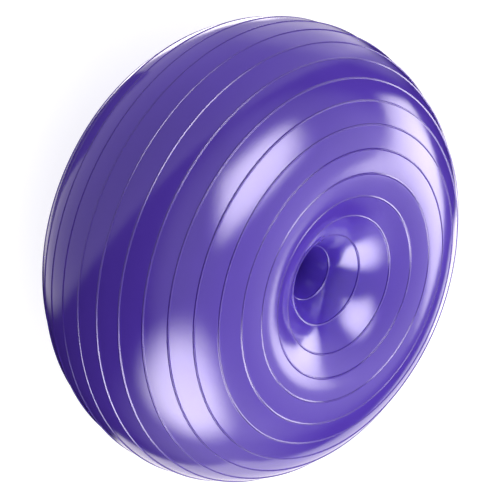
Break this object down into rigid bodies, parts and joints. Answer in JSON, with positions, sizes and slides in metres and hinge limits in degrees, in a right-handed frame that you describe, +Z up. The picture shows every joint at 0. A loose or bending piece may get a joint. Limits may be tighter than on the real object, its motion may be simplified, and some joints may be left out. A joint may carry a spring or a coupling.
{
  "type": "inflatable doughnut exercise ball",
  "caption": "Round inflated vinyl cushion with raised rings, a funnel dimple above and below joined by a central hole, and a push-in valve plug in its side.",
  "frame": {"origin": "on the floor, under the middle of the ball as it lies flat", "axes": "+Z up along the ball's axis, +Y towards the valve"},
  "size_m": [0.4996, 0.4998, 0.2653],
  "materials": {
    "purple_vinyl": "glossy soft PVC, evenly coloured purple right through",
    "purple_insert": "thicker soft PVC insert in the same purple, less glossy",
    "white_plastic": "white moulded polyethylene, satin"
  },
  "bodies": {
    "ball": {"ball_skin": "purple_vinyl", "valve_seat": "purple_insert"},
    "plug": {"valve_plug": "white_plastic"}
  },
  "joints": [
    {"name": "plug_pull", "type": "slide", "parent": "ball", "child": "plug", "axis": [0, 1, 0], "range_m": [0, 0.024]}
  ]
}
